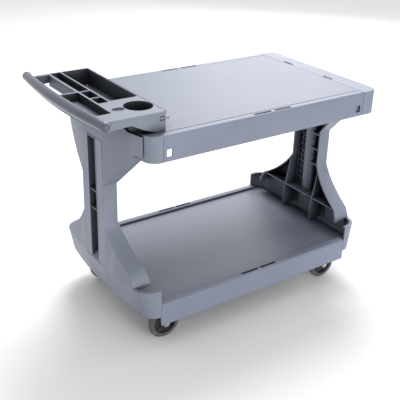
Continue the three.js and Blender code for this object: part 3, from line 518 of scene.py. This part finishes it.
def grip_plastic(name, colour):
    """Glossier plastic with a fine pebbled surface that a hand rests on."""
    material, tree, shader = new_material(name)
    place = add_node(tree, "ShaderNodeTexCoord").outputs["Object"]
    pebble = add_node(tree, "ShaderNodeTexVoronoi", Scale=420.0)
    tree.links.new(place, pebble.inputs["Vector"])
    flow = noise(tree, place, scale=9.0, detail=4.0, roughness=0.6, distortion=0.7)
    base = mix_colour(tree, ramp(tree, flow, 0.3, 0.7), scaled(colour, 0.85), scaled(colour, 1.2))
    tree.links.new(base, shader.inputs["Base Color"])
    tree.links.new(spread(tree, flow, 0.2, 0.42), shader.inputs["Roughness"])
    pebbled = bump(tree, pebble.outputs["Distance"], strength=0.35, distance=0.0004)
    tree.links.new(pebbled, shader.inputs["Normal"])
    shader.inputs["Coat Weight"].default_value = 0.25
    shader.inputs["Coat Roughness"].default_value = 0.2
    return material


def zinc_steel(name):
    """Bright zinc plate with rolling lines and faint dulled patches."""
    material, tree, shader = new_material(name)
    place = add_node(tree, "ShaderNodeTexCoord").outputs["Object"]
    lines = noise(tree, mapping(tree, place, scale=(1.0, 1.0, 40.0)), scale=60.0, roughness=0.6)
    patches = noise(tree, place, scale=45.0, distortion=0.5)
    base = mix_colour(tree, ramp(tree, patches, 0.35, 0.7), (0.62, 0.63, 0.64), (0.48, 0.49, 0.51))
    tree.links.new(base, shader.inputs["Base Color"])
    tree.links.new(spread(tree, patches, 0.22, 0.42), shader.inputs["Roughness"])
    tree.links.new(bump(tree, lines, strength=0.15, distance=0.0002), shader.inputs["Normal"])
    shader.inputs["Metallic"].default_value = 1.0
    return material


def rubber(name, colour):
    """Matt tread rubber with dust in its grain."""
    material, tree, shader = new_material(name)
    place = add_node(tree, "ShaderNodeTexCoord").outputs["Object"]
    dust = noise(tree, place, scale=30.0, detail=5.0, roughness=0.65, distortion=0.5)
    grain = noise(tree, place, scale=900.0, detail=2.0)
    base = mix_colour(tree, ramp(tree, dust, 0.45, 0.75), colour, scaled(colour, 1.5))
    tree.links.new(base, shader.inputs["Base Color"])
    shader.inputs["Roughness"].default_value = 0.72
    tree.links.new(bump(tree, grain, strength=0.3, distance=0.0003), shader.inputs["Normal"])
    return material


def black_plastic(name, colour):
    """Black moulded hub plastic with a soft sheen."""
    material, tree, shader = new_material(name)
    place = add_node(tree, "ShaderNodeTexCoord").outputs["Object"]
    flow = noise(tree, place, scale=24.0, detail=4.0, roughness=0.6, distortion=0.4)
    grain = noise(tree, place, scale=1100.0, detail=2.0)
    base = mix_colour(tree, ramp(tree, flow, 0.4, 0.8), colour, scaled(colour, 3.0))
    tree.links.new(base, shader.inputs["Base Color"])
    shader.inputs["Roughness"].default_value = 0.38
    tree.links.new(bump(tree, grain, strength=0.15, distance=0.0002), shader.inputs["Normal"])
    return material


def finishes():
    """Every finish by its slot name, made once."""
    if not FINISHES:
        settings = bpy.context.scene.cart_settings
        shell, panel = settings.shell_colour[:], settings.panel_colour[:]
        # Shell, tray and panel finishes each get their own strength of painted shade in recesses.
        FINISHES.update({
            "shell": moulded_plastic("moulded_shell", shell, settings, SHELL_PAINTED_SHADE),
            "tray": moulded_plastic("moulded_tray", shell, settings, TRAY_PAINTED_SHADE),
            "panel": moulded_plastic("moulded_panel", panel, settings, PANEL_PAINTED_SHADE, 0.42, 0.6),
            "grip": grip_plastic("glossy_grip", settings.grip_colour[:]),
            "steel": zinc_steel("zinc_plate"),
            "tyre": rubber("tread_rubber", settings.tyre_colour[:]),
            "dark_part": black_plastic("black_moulding", settings.hub_colour[:]),
        })
    return FINISHES


# ------------------------------------------------------------------ operators
class CART_OT_stage(bpy.types.Operator):
    """Pale floor, soft studio light and the camera"""

    bl_idname = "cart.stage"
    bl_label = "Stage"

    def execute(self, context):
        settings = context.scene.cart_settings
        deselect()
        bpy.ops.mesh.primitive_plane_add(size=settings.floor_size, location=(0, 0, 0))
        floor = context.object
        floor.name = "floor"
        material, tree, shader = new_material("floor_white")
        place = add_node(tree, "ShaderNodeTexCoord").outputs["Object"]
        tone = mix_colour(tree, noise(tree, place, scale=0.6), (0.86, 0.86, 0.86), (0.89, 0.89, 0.89))
        tree.links.new(tone, shader.inputs["Base Color"])
        shader.inputs["Roughness"].default_value = 0.9
        shader.inputs["Specular IOR Level"].default_value = 0.1
        floor.data.materials.append(material)
        self.light_world(context.scene)
        for light in AREA_LIGHTS:
            self.add_area(*light)
        self.add_camera(context.scene)
        return {"FINISHED"}

    def light_world(self, scene):
        world = bpy.data.worlds.new("studio")
        world.use_nodes = True
        scene.world = world
        background = world.node_tree.nodes["Background"]
        background.inputs["Color"].default_value = (1, 1, 1, 1)
        background.inputs["Strength"].default_value = WORLD_STRENGTH
        scene.view_settings.view_transform = "Standard"

    def add_area(self, name, place, target, size, power):
        data = bpy.data.lights.new(name, "AREA")
        data.shape = "DISK"
        data.size = size
        data.energy = power
        light = bpy.data.objects.new(name, data)
        light.location = place
        light.rotation_euler = (Vector(target) - Vector(place)).to_track_quat("-Z", "Y").to_euler()
        bpy.context.scene.collection.objects.link(light)

    def add_camera(self, scene):
        yaw, pitch, roll = (math.radians(turn) for turn in (CAMERA_YAW, CAMERA_PITCH, CAMERA_ROLL))
        view = Vector((math.cos(pitch) * math.cos(yaw), math.cos(pitch) * math.sin(yaw), -math.sin(pitch)))
        right = view.cross(Vector((0, 0, 1))).normalized()
        up = right.cross(view)
        rolled_right = right * math.cos(roll) + up * math.sin(roll)
        rolled_up = up * math.cos(roll) - right * math.sin(roll)
        data = bpy.data.cameras.new("camera")
        data.sensor_width = CAMERA_SENSOR
        data.lens = CAMERA_LENS
        data.shift_x, data.shift_y = CAMERA_SHIFT
        data.clip_end = 100.0
        camera = bpy.data.objects.new("camera", data)
        turn = Matrix((rolled_right, rolled_up, -view)).transposed().to_4x4()
        camera.matrix_world = Matrix.Translation(CAMERA_PLACE) @ turn
        scene.collection.objects.link(camera)
        scene.camera = camera


class CART_OT_moulded_shells(bpy.types.Operator):
    """Shelves, end frames, tray and panels with rounded edges"""

    bl_idname = "cart.moulded_shells"
    bl_label = "Moulded shells"

    def execute(self, context):
        materials = finishes()
        for node, radius in MOULDED.items():
            slot = SLOT_OF[node]
            finish = "tray" if node == "handle_tray" else slot
            piece = rounded_copy(node, node + "_moulding", radius)
            finish_piece(piece, BODY_OF[node], materials[finish], [node])
        return {"FINISHED"}


class CART_OT_tyres(bpy.types.Operator):
    """Rubber tyres with a rounded tread, a raised ring and a bead at the rim"""

    bl_idname = "cart.tyres"
    bl_label = "Tyres"

    def execute(self, context):
        rubber_finish = finishes()["tyre"]
        for label, body in WHEEL_BODIES.items():
            node = label + "_tyre"
            low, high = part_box(node)
            radius = (high[2] - low[2]) / 2
            width = high[1] - low[1]
            tyre = disc_along_y(node + "_rubber", radius, width * TREAD_SHARE, TYRE_SIDES)
            select_ends(tyre)
            step_ends(TYRE_STEPS)
            open_bore()
            bpy.ops.object.mode_set(mode="OBJECT")
            move_piece(tyre, centre_of(node))
            smooth(tyre, TYRE_SMOOTH)
            finish_piece(tyre, body, rubber_finish, [node])
        return {"FINISHED"}


class CART_OT_hubs(bpy.types.Operator):
    """Black wheel centres with a rim lip, pockets between spokes and a raised boss"""

    bl_idname = "cart.hubs"
    bl_label = "Hubs"

    def execute(self, context):
        black = finishes()["dark_part"]
        for label, body in WHEEL_BODIES.items():
            node = label + "_hub"
            hub = disc_along_y(node + "_moulding", HUB_RADIUS, HUB_WIDTH, HUB_SIDES)
            select_ends(hub)
            step_ends(HUB_WEB_STEPS)
            bpy.ops.mesh.inset(thickness=HUB_WEB_WIDTH, depth=0, use_individual=True, use_even_offset=False)
            step_ends(HUB_BOSS_STEPS)
            open_bore()
            self.sink_pockets(hub)
            bpy.ops.object.mode_set(mode="OBJECT")
            move_piece(hub, centre_of(node))
            smooth(hub, HUB_SMOOTH)
            finish_piece(hub, body, black, [node])
        return {"FINISHED"}

    def sink_pockets(self, hub):
        """Sinks the web between the spokes."""
        outer = HUB_RADIUS - sum(step[0] for step in HUB_WEB_STEPS)
        middle = outer - HUB_WEB_WIDTH / 2

        def between_spokes(face):
            distance = math.hypot(face.center.x, face.center.z)
            turn = (math.atan2(face.center.z, face.center.x) / math.tau * SPOKES) % 1.0
            on_web = abs(face.normal.y) > 0.9 and abs(distance - middle) < POCKET_REACH
            return on_web and turn > SPOKE_SHARE

        select_faces(hub, between_spokes)
        bpy.ops.mesh.inset(thickness=POCKET_BORDER, depth=-POCKET_DEPTH)


class CART_OT_axle_fittings(bpy.types.Operator):
    """Bearing sleeves, washers and rounded bolt heads and nuts at each axle"""

    bl_idname = "cart.axle_fittings"
    bl_label = "Axle fittings"

    def execute(self, context):
        steel = finishes()["steel"]
        for label, body in WHEEL_BODIES.items():
            hub = label + "_hub"
            low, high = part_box(hub)
            length = high[1] - low[1] + SLEEVE_PROUD
            sleeve = disc_along_y(label + "_bearing_sleeve", SLEEVE_RADIUS, length, SLEEVE_SIDES)
            select_ends(sleeve)
            step_ends(SLEEVE_STEPS)
            open_bore()
            bpy.ops.object.mode_set(mode="OBJECT")
            move_piece(sleeve, centre_of(hub))
            smooth(sleeve)
            finish_piece(sleeve, body, steel)
            self.add_rounded(label, "axle_bolt", steel)
            self.add_rounded(label, "axle_nut", steel)
            self.add_washers(label, steel)
        return {"FINISHED"}

    def add_rounded(self, label, kind, steel):
        node = f"{label}_{kind}"
        piece = rounded_copy(node, node + "_plated", FASTENER_EDGE)
        finish_piece(piece, FORK_BODIES[label], steel, [node])

    def add_washers(self, label, steel):
        hub = centre_of(label + "_hub")
        for side, side_name in ((-1, "near"), (1, "far")):
            name = f"{label}_washer_{side_name}"
            washer = disc_along_y(name, WASHER_RADIUS, WASHER_THICKNESS, WASHER_SIDES)
            select_ends(washer)
            step_ends(WASHER_STEPS)
            open_bore()
            bpy.ops.object.mode_set(mode="OBJECT")
            move_piece(washer, hub + Vector((0, side * WASHER_FROM_HUB, 0)))
            smooth(washer)
            finish_piece(washer, FORK_BODIES[label], steel)


class CART_OT_plate_bolts(bpy.types.Operator):
    """Four hexagon bolts that hold each caster plate to the lower shelf"""

    bl_idname = "cart.plate_bolts"
    bl_label = "Plate bolts"

    def execute(self, context):
        steel = finishes()["steel"]
        for label, node in PLATE_NODES.items():
            middle = centre_of(node)
            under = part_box(node)[1][2] - PLATE_THICKNESS
            heads = []
            for way_x, way_y in ((-1, -1), (1, -1), (1, 1), (-1, 1)):
                deselect()
                bpy.ops.mesh.primitive_cylinder_add(
                    vertices=6, radius=PLATE_BOLT_RADIUS, depth=PLATE_BOLT_HEIGHT,
                    location=(middle.x + way_x * PLATE_BOLT_X, middle.y + way_y * PLATE_BOLT_Y,
                              under - PLATE_BOLT_DROP))
                heads.append(context.object)
            bolts = joined(heads, label + "_plate_bolts")
            bevel(bolts, PLATE_BOLT_EDGE)
            apply_all(bolts)
            smooth(bolts)
            finish_piece(bolts, "cart", steel)
        return {"FINISHED"}


class CART_OT_grip(bpy.types.Operator):
    """The handle bar as one smooth, swollen grip with a ball at each end"""

    bl_idname = "cart.grip"
    bl_label = "Handle grip"

    def execute(self, context):
        grip = copy_of_node("handle_bar", "handle_grip")
        modifier = grip.modifiers.new("smooth_form", "SUBSURF")
        modifier.levels = GRIP_LEVELS
        apply_all(grip)
        activate(grip)
        bpy.ops.object.shade_smooth()
        finish_piece(grip, "cart", finishes()["grip"], ["handle_bar"])
        for side in (-1, 1):
            self.add_end_ball(side)
        return {"FINISHED"}

    def add_end_ball(self, side):
        """A rounded cap on the end of the bar, a little thicker than the bar."""
        deselect()
        x = BAR_HIGH[0] - BAR_END_RADIUS
        z = BAR_LOW[2] + BAR_END_RADIUS
        bpy.ops.mesh.primitive_uv_sphere_add(
            segments=40, ring_count=24, radius=END_BALL_RADIUS,
            location=(x, side * (BAR_HIGH[1] - END_BALL_RADIUS + END_BALL_OUT), z),
            rotation=(math.pi / 2, 0, 0))
        ball = bpy.context.object
        ball.name = "handle_end_ball_near" if side < 0 else "handle_end_ball_far"
        apply_all(ball)
        bpy.ops.object.shade_smooth()
        finish_piece(ball, "cart", finishes()["grip"])


class CART_OT_ladder_tabs(bpy.types.Operator):
    """A small tab in every pocket of the two ladder strips behind the tool slots"""

    bl_idname = "cart.ladder_tabs"
    bl_label = "Ladder tabs"

    def execute(self, context):
        for node, way in (("handle_end_frame", 1), ("far_end_frame", -1)):
            low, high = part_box(node)
            face = (low[0] if way > 0 else high[0]) + way * LADDER_DEPTH_IN
            tabs = []
            for column in LADDER_COLUMNS:
                deselect()
                bpy.ops.mesh.primitive_cube_add(
                    size=1, location=(face - way * LADDER_TAB[0] / 2, way * column, LADDER_FIRST_TAB),
                    scale=LADDER_TAB)
                tab = context.object
                bpy.ops.object.transform_apply(location=False, rotation=False, scale=True)
                repeat = tab.modifiers.new("rungs", "ARRAY")
                repeat.use_relative_offset = False
                repeat.use_constant_offset = True
                repeat.constant_offset_displace = (0, 0, LADDER_PITCH)
                repeat.count = LADDER_RUNGS
                apply_all(tab)
                tabs.append(tab)
            strip = joined(tabs, node + "_ladder_tabs")
            bevel(strip, SMALL_EDGE, 1)
            apply_all(strip)
            finish_piece(strip, "cart", finishes()["shell"])
        return {"FINISHED"}


class CART_OT_tray_lips(bpy.types.Operator):
    """The thin raised band along the top of the tray's sides and deck end"""

    bl_idname = "cart.tray_lips"
    bl_label = "Tray lips"

    def execute(self, context):
        end = TRAY_HIGH[0]
        start = TRAY_LOW[0] + LIP_START_IN
        half = TRAY_HIGH[1]
        self.add_band("tray_lip_near", start, end, -half - LIP_PROUD, -half)
        self.add_band("tray_lip_far", start, end, half, half + LIP_PROUD)
        self.add_band("tray_lip_end", end, end + LIP_PROUD, -half, half)
        return {"FINISHED"}

    def add_band(self, name, x0, x1, y0, y1):
        top = TRAY_HIGH[2] - LIP_BELOW_TOP
        deselect()
        bpy.ops.mesh.primitive_cube_add(
            size=1, location=((x0 + x1) / 2, (y0 + y1) / 2, top - LIP_HEIGHT / 2),
            scale=(x1 - x0, y1 - y0, LIP_HEIGHT))
        band = bpy.context.object
        band.name = name
        bpy.ops.object.transform_apply(location=False, rotation=False, scale=True)
        bevel(band, SMALL_EDGE)
        apply_all(band)
        smooth(band)
        finish_piece(band, "cart", finishes()["shell"])


class CART_OT_frame_finishes(bpy.types.Operator):
    """Gives every frame node that stays on show its finish"""

    bl_idname = "cart.frame_finishes"
    bl_label = "Frame finishes"

    def execute(self, context):
        materials = finishes()
        for name, node in frame["nodes"].items():
            if node.hide_render:
                continue
            node.data.materials.clear()
            node.data.materials.append(materials[SLOT_OF[name]])
        return {"FINISHED"}


class CART_PT_panel(bpy.types.Panel):
    """Lists the cart's settings and building steps"""

    bl_idname = "CART_PT_panel"
    bl_label = "Utility Cart"
    bl_space_type = "VIEW_3D"
    bl_region_type = "UI"
    bl_category = "Cart"

    def draw(self, context):
        layout = self.layout
        settings = context.scene.cart_settings
        for name in CartSettings.__annotations__:
            layout.prop(settings, name)
        for operator in OPERATORS:
            layout.operator(operator.bl_idname)


OPERATORS = (
    CART_OT_stage, CART_OT_moulded_shells, CART_OT_grip, CART_OT_tyres, CART_OT_hubs,
    CART_OT_axle_fittings, CART_OT_plate_bolts, CART_OT_ladder_tabs, CART_OT_tray_lips,
    CART_OT_frame_finishes,
)
CLASSES = (CartSettings, *OPERATORS, CART_PT_panel)


def register():
    for cls in CLASSES:
        bpy.utils.register_class(cls)
    bpy.types.Scene.cart_settings = bpy.props.PointerProperty(type=CartSettings)


def unregister():
    del bpy.types.Scene.cart_settings
    for cls in reversed(CLASSES):
        bpy.utils.unregister_class(cls)


def main():
    register()
    for operator in OPERATORS:
        group, name = operator.bl_idname.split(".")
        getattr(getattr(bpy.ops, group), name)()


if __name__ == "__main__":
    main()
